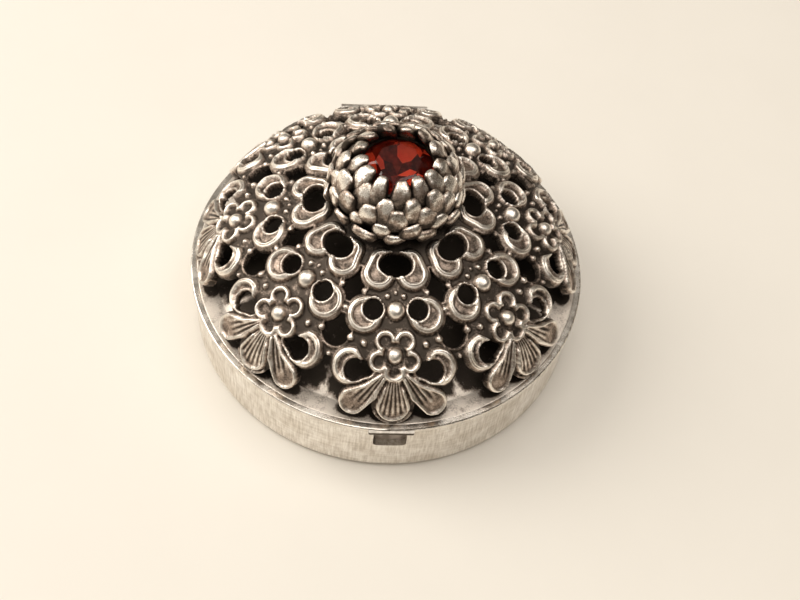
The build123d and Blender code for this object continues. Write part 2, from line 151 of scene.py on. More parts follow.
def lobe_pattern(s, turn):
    """Height, solidity and outline of the stamped pattern; s is the way out from the crown."""
    x = s * np.sin(turn)
    y = s * np.cos(turn)
    half_turn = np.pi / LOBES
    gap_x = s * np.sin(half_turn - turn)
    gap_y = s * np.cos(half_turn - turn)

    rosette = np.hypot(x, y - ROSETTE_OUT)
    petals = np.full_like(x, 9.0)
    for step in (0, 1, 2):
        a = step * 2 * np.pi / 5
        px = PETAL_OUT * np.sin(a)
        py = ROSETTE_OUT + (1.94 if step == 0 else PETAL_OUT) * np.cos(a)
        half_sizes = (1.48, 1.12) if step == 0 else (1.30, 1.28)
        along = (x - px) * np.sin(a) + (y - py) * np.cos(a)
        cross = (x - px) * np.cos(a) - (y - py) * np.sin(a)
        petals = np.minimum(petals, oval(cross, along, 0, 0, *half_sizes))

    heart = taper(x, y, 1.75, 9.45, 1.75, 2.05, 10.95, 2.12)
    heart_hole = oval(x, y, 0, 9.85, 2.02, 1.55)
    bead_scroll = circle(x, y, 3.78, 15.77, 2.34)
    bead_hole = circle(x, y, 2.74, 15.2, 1.22)
    side_scroll = circle(x, y, 5.65, 21.6, 2.42)
    side_cut = (x - 3.95) * 0.86 + (y - 20.95) * 0.51
    side_hole = np.minimum(circle(x, y, 5.0, 22.1, 1.34), taper(x, y, 5.0, 22.1, 1.28, 3.5, 22.05, 0.92))
    side_hole = np.maximum(side_hole, 0.14 - petals)
    middle = taper(x, y, 0, 23.55, 1.0, 0, 26.75, 2.32)
    side = np.minimum(
        taper(x, y, 1.5, 23.05, 0.55, 3.3, 24.95, 1.28),
        taper(x, y, 3.3, 24.95, 1.28, 5.45, 26.1, 1.88),
    )

    height = np.zeros_like(x)

    def raise_to(h):
        np.maximum(height, h, out=height)

    def inside(d, edge=0.12):
        return smooth_step(0, edge, -d)

    # Heart of two crescents round the first hole
    raise_to(SCROLL_FLOOR * inside(np.maximum(heart, -heart_hole)))
    raise_to(band(heart, HEART_BAND, BAND_HEIGHT) * (heart_hole > 0.02))
    raise_to(ridge(heart_hole, 0.18, 0.20, 0.55) * (heart < 0))

    # Crescents beside the bead
    raise_to(SCROLL_FLOOR * inside(np.maximum(bead_scroll, -bead_hole)))
    raise_to(band(bead_scroll, BEAD_BAND, BAND_HEIGHT) * (bead_hole > 0.02))
    raise_to(ridge(bead_hole, 0.17, 0.19, 0.58) * (bead_scroll < 0.2))

    # Hooked scrolls beside the flower
    raise_to(SCROLL_FLOOR * inside(np.maximum(np.maximum(side_scroll, -side_hole), -side_cut)))
    hook = (side_hole > 0.02) * (side_cut > 0) * smooth_step(24.3, 23.6, y)
    raise_to(band(side_scroll, SIDE_BAND, BAND_HEIGHT) * hook)
    rim_part = (side_cut > 0) & (side_scroll < 0.1) | (y > 22.3)
    raise_to(ridge(side_hole, 0.17, 0.19, 0.55) * rim_part * (petals > 0.05))

    # Five petals round a bead
    raise_to(0.10 * inside(petals))
    raise_to(ridge(petals, -0.28, 0.33, 0.66) * smooth_step(1.3, 1.7, rosette))
    raise_to(ball(x, y, 0, ROSETTE_OUT, 1.0, 0.95))

    # Fan of three petals with flutes
    below = petals > 0.02
    raise_to(0.34 * inside(middle, 0.2) * below)
    raise_to(ridge(middle, -0.26, 0.29, 0.70) * smooth_step(23.6, 24.8, y) * below)
    apart = middle > -0.03
    raise_to(0.34 * inside(side, 0.2) * apart * below)
    raise_to(ridge(side, -0.26, 0.29, 0.70) * apart * below)
    raise_to(ridge(middle, 0.42, 0.17, 0.5) * (y > 27.7) * (side > 0.12))

    flute_turn = np.arctan2(x, y - FLUTE_START) * 2 * np.pi / 0.118
    reach = np.hypot(x, y - FLUTE_START)
    fluted = smooth_step(0.25, 0.5, -middle) * smooth_step(7.6, 6.2, reach) * below
    fluted = np.maximum(fluted, smooth_step(0.25, 0.5, -side) * smooth_step(7.6, 5.6, reach) * apart * below)

    for shape, width, kept in (
        (heart, HEART_BAND, heart_hole > 0.3),
        (bead_scroll, BEAD_BAND, bead_hole > 0.3),
        (side_scroll, SIDE_BAND, (side_hole > 0.3) & (side_cut > 0)),
    ):
        share = 0.55 * smooth_step(0.1, 0.3, -shape) * smooth_step(width, width - 0.2, -shape) * kept
        flute_turn = np.where(share > 0, shape * 2 * np.pi / 0.36, flute_turn)
        fluted = np.where(share > 0, share, fluted)

    # Beads and dots
    raise_to(ball(x, y, 0, 15.4, 1.15, 0.95))
    # gleam paints a highlight over each dot.
    gleam = np.zeros_like(x)
    for cx, cy, r in (
        (1.0, 13.65, 0.36),
        (3.8, 13.0, 0.30),
        (5.45, 18.4, 0.40),
        (3.85, 19.1, 0.42),
        (0, 13.25, 0.24),
    ):
        raise_to(ball(x, y, cx, cy, r, 1.1))
        np.maximum(gleam, inside(circle(x, y, cx, cy, r), 0.15), out=gleam)
    for out, r in ((16.0, 0.36), (21.7, 0.30)):
        raise_to(ball(gap_x, gap_y, 0, out, r, 1.1))
        np.maximum(gleam, inside(circle(gap_x, gap_y, 0, out, r), 0.15), out=gleam)

    # Openings are where this is negative
    clear_of = np.minimum(np.minimum(heart, bead_scroll), side_scroll)
    upper_gap = np.maximum(oval(gap_x, gap_y, 0, 13.0, 1.6, 2.1), 0.14 - clear_of)
    upper_gap = np.maximum(upper_gap, 0.12 - circle(x, y, 3.8, 13.0, 0.30))
    lower_gap = np.maximum(oval(gap_x, gap_y, 0, 18.75, 1.8, 1.95), 0.14 - clear_of)
    lower_gap = np.maximum(lower_gap, 0.14 - circle(x, y, 5.45, 18.4, 0.40))
    raise_to(ridge(np.minimum(upper_gap, lower_gap), 0.15, 0.15, 0.30))
    holes = np.minimum(np.minimum(heart_hole, bead_hole), side_hole)
    holes = np.minimum(holes, np.minimum(upper_gap, lower_gap))
    outline = np.minimum(np.minimum(side_scroll - 0.14, side - 0.14), middle - 0.62)
    outline = np.minimum(outline, np.maximum(y - 25.6, x - 2.6))
    outline = np.minimum(outline, np.maximum(y - 24.3, x - 5.2))
    web = np.minimum(outline, s - 21.9)
    solid = np.minimum(holes, -web)
    return height, solid, outline, gleam, flute_turn, fluted


def dome_point(s, turn, lift):
    """Place on the dome: s is the flat distance from the crown, turn is from the front."""
    length = (s + PATTERN_SPREAD * np.sin(np.pi * np.clip(s / PATTERN_LENGTH, 0, 1) ** 3)) * UNIT
    tilt = np.where(length < CROWN_LENGTH, length / CROWN, CROWN_ANGLE + (length - CROWN_LENGTH) / SHOULDER)
    radius = np.where(length < CROWN_LENGTH, CROWN * np.sin(tilt), SHOULDER_AT + SHOULDER * np.sin(tilt))
    level = np.where(
        length < CROWN_LENGTH,
        DOME_TOP - CROWN * (1 - np.cos(tilt)),
        SHOULDER_LEVEL + SHOULDER * np.cos(tilt),
    )
    radius = radius + lift * np.sin(tilt)
    level = level + lift * np.cos(tilt)
    return np.stack([radius * np.sin(turn), -radius * np.cos(turn), level], axis=-1)


def wave_noise(points, size, seed, count=24):
    """Smooth seeded unevenness from a sum of waves; size is the wave length in millimetres."""
    local = np.random.default_rng(seed)
    total = np.zeros(points.shape[:-1])
    for _ in range(count):
        direction = local.normal(size=3)
        direction *= 2 * np.pi / (size * local.uniform(0.6, 1.6)) / np.linalg.norm(direction)
        total += np.cos(points @ direction + local.uniform(0, 2 * np.pi))
    return total / math.sqrt(count)


def blur(grid, passes):
    """Softens a grid that is closed round its second axis."""
    for _ in range(passes):
        padded = np.pad(grid, ((1, 1), (0, 0)), mode="edge")
        grid = 0.25 * padded[:-2] + 0.5 * grid + 0.25 * padded[2:]
        grid = 0.25 * np.roll(grid, 1, axis=1) + 0.5 * grid + 0.25 * np.roll(grid, -1, axis=1)
    return grid


def build_filigree(material):
    """The stamped dome: a relief over a polar grid, cut along the edges of its openings."""
    rows, columns = 134, 784
    s_values = np.linspace(4.2, 30.05, rows)
    turns = np.arange(columns) * 2 * np.pi / columns
    s, turn = np.meshgrid(s_values, turns, indexing="ij")
    pitch = 2 * np.pi / LOBES
    folded = np.abs((turn + pitch / 2) % pitch - pitch / 2)
    height, solid, _, gleam, flute_turn, fluted = lobe_pattern(s, folded)
    flat = dome_point(s, turn, np.zeros_like(s))
    height = height + 0.03 * wave_noise(flat, 1.6, 3) * (height > 0.1)
    low = blur(height, 10)
    tone = np.interp(height, (0.0, 0.12, 0.24, 0.45, 0.72), (0.0, 0.12, 0.26, 0.55, 0.92))
    tone = np.clip(np.maximum(tone + 0.5 * (height - low), 0.9 * gleam), 0, 1)
    top = dome_point(s, turn, height)

    points = top.reshape(-1, 3).tolist()
    values = np.stack([tone, flute_turn, fluted], axis=-1).reshape(-1, 3).tolist()
    inside = solid > 0
    cuts = {}
    walls = []
    faces = []

    def index(i, j):
        return i * columns + j % columns

    def cut_between(a, b):
        key = (a, b) if a < b else (b, a)
        if key not in cuts:
            fa, fb = solid.flat[key[0]], solid.flat[key[1]]
            t = min(max(fa / (fa - fb), 0.02), 0.98)
            pa, pb = np.array(points[key[0]]), np.array(points[key[1]])
            points.append((pa + t * (pb - pa)).tolist())
            values.append([0.6 * max(values[key[0]][0], values[key[1]][0]), values[key[0]][1], 0.0])
            cuts[key] = len(points) - 1
        return cuts[key]

    for i in range(rows - 1):
        row_in = inside[i] | np.roll(inside[i], -1) | inside[i + 1] | np.roll(inside[i + 1], -1)
        for j in np.nonzero(row_in)[0]:
            corners = [index(i, j), index(i + 1, j), index(i + 1, j + 1), index(i, j + 1)]
            states = [inside.flat[c] for c in corners]
            if all(states):
                faces.append(corners)
                continue
            ring = []
            marks = []
            for k in range(4):
                a, b = corners[k], corners[(k + 1) % 4]
                if states[k]:
                    ring.append(a)
                if states[k] != states[(k + 1) % 4]:
                    c = cut_between(a, b)
                    ring.append(c)
                    marks.append((c, states[k]))
            if len(ring) >= 3:
                faces.append(ring)
            for k in range(len(marks)):
                here, leaving = marks[k]
                if leaving:
                    walls.append((here, marks[(k + 1) % len(marks)][0]))

    # Edges of the openings go down through the sheet
    lower = {}
    array = np.array(points)

    def below(v):
        if v not in lower:
            p = array[v]
            r = math.hypot(p[0], p[1])
            if p[2] > SHOULDER_LEVEL + SHOULDER * math.cos(CROWN_ANGLE):
                n = np.array([p[0], p[1], p[2] - (DOME_TOP - CROWN)])
            else:
                k = (r - SHOULDER_AT) / r
                n = np.array([p[0] * k, p[1] * k, p[2] - SHOULDER_LEVEL])
            n = n / np.linalg.norm(n)
            q = p - n * SHEET
            q[2] = max(q[2], LID_TOP)
            points.append(q.tolist())
            values.append([0.05, values[v][1], 0.0])
            lower[v] = len(points) - 1
        return lower[v]

    for a, b in walls:
        faces.append([b, a, below(a), below(b)])

    used = sorted({v for f in faces for v in f})
    renumber = {v: k for k, v in enumerate(used)}
    faces = [[renumber[v] for v in f] for f in faces]
    obj = new_object("filigree", np.array(points)[used], faces, material)
    for k, name in enumerate(("tone", "flute_turn", "fluted")):
        point_values(obj, name, np.array(values)[used, k])
    return obj


def build_plate(material):
    """Lid plate: shallow dome and flange, darkened under and close to the lobes, partly patina and partly
    painted shade.
    """
    columns = 480
    inner = np.linspace(0.4, FLANGE_RADIUS, 26)
    outer = np.linspace(FLANGE_RADIUS, PLATE_RADIUS, 16)[1:]
    radii = np.concatenate([inner, outer])
    cap = (FLANGE_RADIUS**2 + LID_RISE**2) / (2 * LID_RISE)
    rise = np.where(
        radii < FLANGE_RADIUS,
        LID_RISE - cap + np.sqrt(np.clip(cap**2 - radii**2, 0, None)),
        0.0,
    )
    turns = np.arange(columns) * 2 * np.pi / columns
    points = []
    tones = []
    faces = []
    pitch = 2 * np.pi / LOBES
    for side, base in ((0, LID_TOP), (1, LID_BOTTOM)):
        for r, h in zip(radii, rise):
            for t in turns:
                points.append((r * math.sin(t), -r * math.cos(t), base + h))
            folded = np.abs((turns + pitch / 2) % pitch - pitch / 2)
            if side:
                tones.extend([1.5] * columns)
                continue
            tilt = math.asin(min(1.0, max(0.0, (r - SHOULDER_AT) / SHOULDER)))
            s = (CROWN_LENGTH + SHOULDER * max(0.0, tilt - CROWN_ANGLE)) / UNIT
            outline = lobe_pattern(np.full(columns, s), folded)[2]
            # Painted shade with patina: the plate darkens under the dome and in a band along the lobes'
            # outlines.
            tones.extend((smooth_step(-0.05, 0.55, outline) * smooth_step(17.5, 20.0, r)).tolist())
    rows = len(radii)
    for side in (0, 1):
        for i in range(rows - 1):
            for j in range(columns):
                k = (j + 1) % columns
                a = (side * rows + i) * columns
                b = a + columns
                quad = [a + j, b + j, b + k, a + k]
                faces.append(quad if side == 0 else quad[::-1])
        ring = [(side * rows) * columns + j for j in range(columns)]
        faces.append(ring if side == 0 else ring[::-1])
    for j in range(columns):
        k = (j + 1) % columns
        a = (rows - 1) * columns
        b = (2 * rows - 1) * columns
        faces.append([a + j, b + j, b + k, a + k])
    obj = new_object("lid_plate_dressed", points, faces, material)
    point_values(obj, "tone", tones)
    return obj


def petal_mesh(tier):
    """Points, faces and tones of one row of blunt cast scales, each a little different."""
    local = np.random.default_rng(40 + tier)
    points, faces, tones = [], [], []
    rings, sides = 16, 24
    foot = np.array([CUP_RADIUS + FOOT_REACH[tier], FLOWER_BASE + tier * RING + RING / 2])
    for step in range(PETALS):
        turn = 2 * np.pi * (step + 0.5 * (tier % 2)) / PETALS + local.normal(0, 0.03)
        away = ((1 - math.cos(turn)) / 2) ** 1.5
        tip = np.array([CUP_RADIUS + TIP_REACH[tier], FLOWER_BASE + TIP_RISE[tier]])
        tip = tip + (local.normal(0, 0.24) + BACK_FLARE[tier] * away, local.normal(0, 0.20))
        wide = PETAL_SHARE[tier] * (1 + local.normal(0, 0.07))
        twist = local.normal(0, 0.16) + 0.25 * away
        slant = local.normal(0, 0.10)
        blunt = local.uniform(6.0, 12.0)
        light = local.normal(0, 0.12)
        chord = tip - foot
        outward = np.array([chord[1], -chord[0]]) / np.linalg.norm(chord)
        base = len(points)
        for i in range(rings + 1):
            v = 1 - (1 - i / rings) ** 1.5
            end = max(0.0, 1 - v**blunt)
            spine = foot + chord * v + outward * (BULGE[tier] * 4 * v * (1 - v) - 0.15)
            half = math.pi * spine[0] / PETALS * wide * (0.60 + 0.42 * math.sin(math.pi * v * 0.8))
            half = max(0.02, half * end**0.24)
            thick = max(0.015, (0.55 + 0.35 * math.sin(math.pi * v**0.75)) * end**0.35)
            along = chord + outward * BULGE[tier] * 4 * (1 - 2 * v)
            along = along / np.linalg.norm(along)
            out = np.array([along[1], -along[0]])
            for k in range(sides):
                a = 2 * np.pi * k / sides
                c, n = math.cos(a), math.sin(a)
                across = half * math.copysign(abs(c) ** 0.65, c)
                if n > 0:
                    normal = thick * n**0.6
                else:
                    normal = -(0.15 + 0.7 * away * smooth_step(0.25, 0.6, v)) * thick * abs(n) ** 0.6
                tilt = twist * c * half * v - 0.06 * c * c * half
                rz = spine + out * (normal + tilt) + along * slant * c * half
                theta = turn + across / max(rz[0], 1.0)
                points.append((rz[0] * math.sin(theta), -rz[0] * math.cos(theta), rz[1]))
                # Painted shade: each scale is darker towards its foot and along its sides where it meets its
                # neighbours, and its inner face is dark except at the back of the flower; tip_wear keeps the
                # worn tips bright.
                lit = 1.0 if n > 0 else away
                face = smooth_step(0.35, 0.85, v) * smooth_step(0.2, 0.95, abs(n))
                tip_wear = 0.85 * smooth_step(0.88, 0.97, v)
                tones.append(min(1.0, max(0.0, lit * max(face, tip_wear) + light * v)))
        for i in range(rings):
            for k in range(sides):
                m = (k + 1) % sides
                a = base + i * sides
                faces.append([a + k, a + m, a + sides + m, a + sides + k])
        faces.append([base + k for k in range(sides)][::-1])
        faces.append([base + rings * sides + k for k in range(sides)])
    array = np.array(points)
    bump = 0.07 * wave_noise(array, 1.7, 60 + tier) + 0.025 * wave_noise(array, 0.7, 80 + tier)
    direction = array - np.array([0, 0, FLOWER_BASE + 2.0])
    direction /= np.linalg.norm(direction, axis=1)[:, None]
    array = array + direction * bump[:, None]
    array[:, 2] = np.minimum(array[:, 2], FLOWER_BASE + FLOWER_HEIGHT)
    return array, faces, tones


def build_tier(tier, material):
    """One rosette: its scales and the flat ring that carries them."""
    points, faces, tones = petal_mesh(tier)
    points = points.tolist()
    level = FLOWER_BASE + tier * RING
    start = len(points)
    columns = 90
    # The ring is coloured nearly black as painted shade under and between the scales.
    for r, z in (
        (CUP_RADIUS + 0.05, level),
        (CUP_RADIUS + FOOT_REACH[tier] + 0.1, level),
        (CUP_RADIUS + FOOT_REACH[tier] + 0.1, level + RING),
        (CUP_RADIUS + 0.05, level + RING),
    ):
        for j in range(columns):
            t = 2 * np.pi * j / columns
            points.append([r * math.sin(t), -r * math.cos(t), z])
            tones.append(0.06)
    for i in range(4):
        for j in range(columns):
            k = (j + 1) % columns
            a = start + i * columns
            b = start + ((i + 1) % 4) * columns
            faces.append([a + j, a + k, b + k, b + j])
    obj = new_object(f"petals_{tier + 1}", points, faces, material)
    point_values(obj, "tone", tones)
    return obj


# Materials
def shader(name):
    """New material with its node tree, shader and a helper that adds nodes."""
    material = bpy.data.materials.new(name)
    material.use_nodes = True
    tree = material.node_tree
    principled = tree.nodes["Principled BSDF"]

    def add(kind, **values):
        node = tree.nodes.new(kind)
        for key, value in values.items():
            if key in node.inputs:
                node.inputs[key].default_value = value
            else:
                setattr(node, key, value)
        return node

    return material, tree, principled, add


def ramp(add, low, high, low_colour, high_colour):
    node = add("ShaderNodeValToRGB")
    node.color_ramp.elements[0].position = low
    node.color_ramp.elements[1].position = high
    node.color_ramp.elements[0].color = (*low_colour, 1)
    node.color_ramp.elements[1].color = (*high_colour, 1)
    return node


def grey(v):
    return (v, v, v)


def noise_at(add, tree, coordinates, scale, detail=4.0, roughness=0.6):
    node = add("ShaderNodeTexNoise", Scale=scale, Detail=detail, Roughness=roughness)
    tree.links.new(coordinates, node.inputs["Vector"])
    return node


def mix_colours(add, tree, factor, a, b, blend="MIX"):
    """Mixes two colours or colour sockets."""
    node = add("ShaderNodeMix", data_type="RGBA", blend_type=blend)
    for value, socket in ((factor, node.inputs[0]), (a, node.inputs[6]), (b, node.inputs[7])):
        if isinstance(value, bpy.types.NodeSocket):
            tree.links.new(value, socket)
        elif isinstance(value, tuple):
            socket.default_value = (*value, 1)
        else:
            socket.default_value = value
    return node.outputs[2]


def calc(add, tree, operation, a, b=None, clamp=False):
    node = add("ShaderNodeMath", operation=operation, use_clamp=clamp)
    for value, socket in zip((a, b), node.inputs):
        if isinstance(value, bpy.types.NodeSocket):
            tree.links.new(value, socket)
        elif value is not None:
            socket.default_value = value
    return node.outputs[0]


def three_stops(add, places, colours):
    """Colour ramp through three colours."""
    node = add("ShaderNodeValToRGB")
    node.color_ramp.elements.new(places[1])
    for element, place, colour in zip(node.color_ramp.elements, places, colours):
        element.position = place
        element.color = (*colour, 1)
    return node


def oxidised_silver(name, colours, stops, rough, uneven=0.9, flutes=False):
    """Silver plate, bright where it is handled, brown on its slopes and nearly black in its recesses; on the
    scales and the lid plate its tone also carries painted shade.
    """
    material, tree, principled, add = shader(name)
    place = add("ShaderNodeTexCoord").outputs["Object"]
    tone = add("ShaderNodeAttribute", attribute_name="tone").outputs["Fac"]
    coarse = noise_at(add, tree, place, 900.0)
    fine = noise_at(add, tree, place, 5200.0, 3.0)
    worn = calc(add, tree, "SUBTRACT", coarse.outputs["Fac"], 0.5)
    worn = calc(add, tree, "MULTIPLY", worn, uneven)
    specks = calc(add, tree, "SUBTRACT", fine.outputs["Fac"], 0.5)
    specks = calc(add, tree, "MULTIPLY", specks, 0.8)
    level = calc(add, tree, "ADD", tone, worn)
    level = calc(add, tree, "ADD", level, specks)
    surface = fine.outputs["Fac"]
    if flutes:
        phase = add("ShaderNodeAttribute", attribute_name="flute_turn").outputs["Fac"]
        share = add("ShaderNodeAttribute", attribute_name="fluted").outputs["Fac"]
        wave = calc(add, tree, "MULTIPLY", calc(add, tree, "COSINE", phase), share)
        level = calc(add, tree, "ADD", level, calc(add, tree, "MULTIPLY", wave, 0.38))
        surface = calc(add, tree, "ADD", surface, calc(add, tree, "MULTIPLY", wave, 1.4))
    colour = three_stops(add, stops, colours)
    tree.links.new(level, colour.inputs["Fac"])
    tree.links.new(colour.outputs["Color"], principled.inputs["Base Color"])
    gloss = ramp(add, stops[0], stops[2], grey(rough[1]), grey(rough[0]))
    tree.links.new(level, gloss.inputs["Fac"])
    patchy = mix_colours(add, tree, 0.25, gloss.outputs["Color"], fine.outputs["Fac"])
    tree.links.new(patchy, principled.inputs["Roughness"])
    principled.inputs["Metallic"].default_value = 1.0
    relief = add("ShaderNodeBump", Strength=0.5, Distance=0.00007)
    tree.links.new(surface, relief.inputs["Height"])
    tree.links.new(relief.outputs["Normal"], principled.inputs["Normal"])
    return material


def plain_silver(name, bright, shade, rough, scale=700.0, bump=0.00003, spots=0.0):
    """Satin or polished plate with faint stains, specks and handling marks."""
    material, tree, principled, add = shader(name)
    place = add("ShaderNodeTexCoord").outputs["Object"]
    coarse = noise_at(add, tree, place, scale)
    fine = noise_at(add, tree, place, scale * 7, 3.0)
    stain = ramp(add, 0.36, 0.66, shade, bright)
    tree.links.new(coarse.outputs["Fac"], stain.inputs["Fac"])
    pits = ramp(add, 0.30, 0.42, tuple(c * (0.35 if spots else 0.8) for c in shade), (1, 1, 1))
    tree.links.new(fine.outputs["Fac"], pits.inputs["Fac"])
    colour = mix_colours(add, tree, 0.3 + spots, stain.outputs["Color"], pits.outputs["Color"], "MULTIPLY")
    tree.links.new(colour, principled.inputs["Base Color"])
    gloss = ramp(add, 0.3, 0.7, grey(rough[0]), grey(rough[1]))
    tree.links.new(coarse.outputs["Fac"], gloss.inputs["Fac"])
    tree.links.new(gloss.outputs["Color"], principled.inputs["Roughness"])
    principled.inputs["Metallic"].default_value = 1.0
    relief = add("ShaderNodeBump", Strength=0.4, Distance=bump)
    tree.links.new(fine.outputs["Fac"], relief.inputs["Height"])
    tree.links.new(relief.outputs["Normal"], principled.inputs["Normal"])
    return material


def lip_shade_and_highlight(name, bright, dark):
    """Plate that is dark on the lip's front as painted shade of the gap under the lid, and bright along its
    top edge as a painted highlight.
    """
    material, tree, principled, add = shader(name)
    place = add("ShaderNodeTexCoord").outputs["Object"]
    parts = add("ShaderNodeSeparateXYZ")
    tree.links.new(place, parts.inputs[0])
    mottle = noise_at(add, tree, place, 1400.0)
    # Painted highlight along the top edge and painted shade on the front, with a mottled border between
    # them.
    above = calc(add, tree, "SUBTRACT", parts.outputs["Z"], (LID_TOP - 0.25) * MM)
    lit_edge = calc(add, tree, "MULTIPLY", above, 5000.0)
    uneven = calc(add, tree, "SUBTRACT", mottle.outputs["Fac"], 0.5)
    lit_edge = calc(add, tree, "ADD", lit_edge, uneven, clamp=True)
    colour = mix_colours(add, tree, lit_edge, dark, bright)
    tree.links.new(colour, principled.inputs["Base Color"])
    gloss = ramp(add, 0.0, 1.0, grey(0.55), grey(0.25))
    tree.links.new(lit_edge, gloss.inputs["Fac"])
    tree.links.new(gloss.outputs["Color"], principled.inputs["Roughness"])
    principled.inputs["Metallic"].default_value = 1.0
    return material


def brushed_silver(name, bright, shade):
    """Plate brushed upright round the wall and satin on its level faces."""
    material, tree, principled, add = shader(name)
    place = add("ShaderNodeTexCoord").outputs["Object"]
    parts = add("ShaderNodeSeparateXYZ")
    tree.links.new(place, parts.inputs[0])
    turn = calc(add, tree, "ARCTAN2", parts.outputs["Y"], parts.outputs["X"])
    around = calc(add, tree, "MULTIPLY", turn, 0.0246)
    brush_place = add("ShaderNodeCombineXYZ")
    tree.links.new(around, brush_place.inputs["X"])
    slow = calc(add, tree, "MULTIPLY", parts.outputs["Z"], 0.10)
    tree.links.new(slow, brush_place.inputs["Y"])
    lines = noise_at(add, tree, brush_place.outputs[0], 3600.0, 3.0)
    cross_place = add("ShaderNodeCombineXYZ")
    gentle = calc(add, tree, "MULTIPLY", around, 0.16)
    tree.links.new(gentle, cross_place.inputs["X"])
    tree.links.new(parts.outputs["Z"], cross_place.inputs["Y"])
    weft = noise_at(add, tree, cross_place.outputs[0], 2600.0, 2.0)
    coarse = noise_at(add, tree, place, 260.0)
    grain = calc(add, tree, "MULTIPLY", weft.outputs["Fac"], 0.45)
    grain = calc(add, tree, "ADD", lines.outputs["Fac"], grain)
    facing = add("ShaderNodeSeparateXYZ")
    tree.links.new(add("ShaderNodeNewGeometry").outputs["True Normal"], facing.inputs[0])
    level_face = calc(add, tree, "ABSOLUTE", facing.outputs["Z"])
    satin = calc(add, tree, "MULTIPLY", noise_at(add, tree, place, 2400.0, 3.0).outputs["Fac"], 1.45)
    rest = calc(add, tree, "MULTIPLY", grain, calc(add, tree, "SUBTRACT", 1.0, level_face))
    grain = calc(add, tree, "ADD", calc(add, tree, "MULTIPLY", satin, level_face), rest)
    streaks = ramp(add, 0.50, 0.95, shade, bright)
    tree.links.new(grain, streaks.inputs["Fac"])
    stain = ramp(add, 0.32, 0.60, (0.74, 0.70, 0.65), (1, 1, 1))
    tree.links.new(coarse.outputs["Fac"], stain.inputs["Fac"])
    colour = mix_colours(add, tree, 0.8, streaks.outputs["Color"], stain.outputs["Color"], "MULTIPLY")
    tree.links.new(colour, principled.inputs["Base Color"])
    gloss = ramp(add, 0.45, 1.0, grey(0.50), grey(0.30))
    tree.links.new(grain, gloss.inputs["Fac"])
    tree.links.new(gloss.outputs["Color"], principled.inputs["Roughness"])
    principled.inputs["Metallic"].default_value = 1.0
    relief = add("ShaderNodeBump", Strength=0.6, Distance=0.00005)
    tree.links.new(grain, relief.inputs["Height"])
    tree.links.new(relief.outputs["Normal"], principled.inputs["Normal"])
    return material


def red_glass(name):
    """Clear red glass with faint swirls in its polish."""
    material, tree, principled, add = shader(name)
    place = add("ShaderNodeTexCoord").outputs["Object"]
    swirl = noise_at(add, tree, place, 420.0, 2.0)
    tint = ramp(add, 0.3, 0.7, (0.95, 0.050, 0.026), (1.0, 0.105, 0.050))
    tree.links.new(swirl.outputs["Fac"], tint.inputs["Fac"])
    tree.links.new(tint.outputs["Color"], principled.inputs["Base Color"])
    polish = ramp(add, 0.3, 0.7, grey(0.0), grey(0.03))
    tree.links.new(swirl.outputs["Fac"], polish.inputs["Fac"])
    tree.links.new(polish.outputs["Color"], principled.inputs["Roughness"])
    principled.inputs["Transmission Weight"].default_value = 1.0
    principled.inputs["IOR"].default_value = 1.52
    return material


def foil(name):
    """Coloured foil on the back of the stone, a little mottled; its darker and lighter facets are painted
    dark reflections and painted highlights.
    """
    material, tree, principled, add = shader(name)
    place = add("ShaderNodeTexCoord").outputs["Object"]
    mottle = noise_at(add, tree, place, 900.0, 2.0)
    tone = add("ShaderNodeAttribute", attribute_name="tone").outputs["Fac"]
    uneven = calc(add, tree, "MULTIPLY", calc(add, tree, "SUBTRACT", mottle.outputs["Fac"], 0.5), 0.5)
    tint = ramp(add, 0.0, 1.0, (0.03, 0.012, 0.012), (1.0, 0.97, 0.78))
    tree.links.new(calc(add, tree, "ADD", tone, uneven), tint.inputs["Fac"])
    tree.links.new(tint.outputs["Color"], principled.inputs["Base Color"])
    polish = ramp(add, 0.3, 0.7, grey(0.4), grey(0.55))
    tree.links.new(mottle.outputs["Fac"], polish.inputs["Fac"])
    tree.links.new(polish.outputs["Color"], principled.inputs["Roughness"])
    return material


def floor_paper(name):
    """Matt cream paper with a faint mottle."""
    material, tree, principled, add = shader(name)
    place = add("ShaderNodeTexCoord").outputs["Object"]
    mottle = noise_at(add, tree, place, 60.0, 3.0)
    tint = ramp(add, 0.3, 0.7, (0.898, 0.857, 0.782), (0.912, 0.871, 0.796))
    tree.links.new(mottle.outputs["Fac"], tint.inputs["Fac"])
    tree.links.new(tint.outputs["Color"], principled.inputs["Base Color"])
    matt = ramp(add, 0.3, 0.7, grey(0.72), grey(0.80))
    tree.links.new(mottle.outputs["Fac"], matt.inputs["Fac"])
    tree.links.new(matt.outputs["Color"], principled.inputs["Roughness"])
    return material


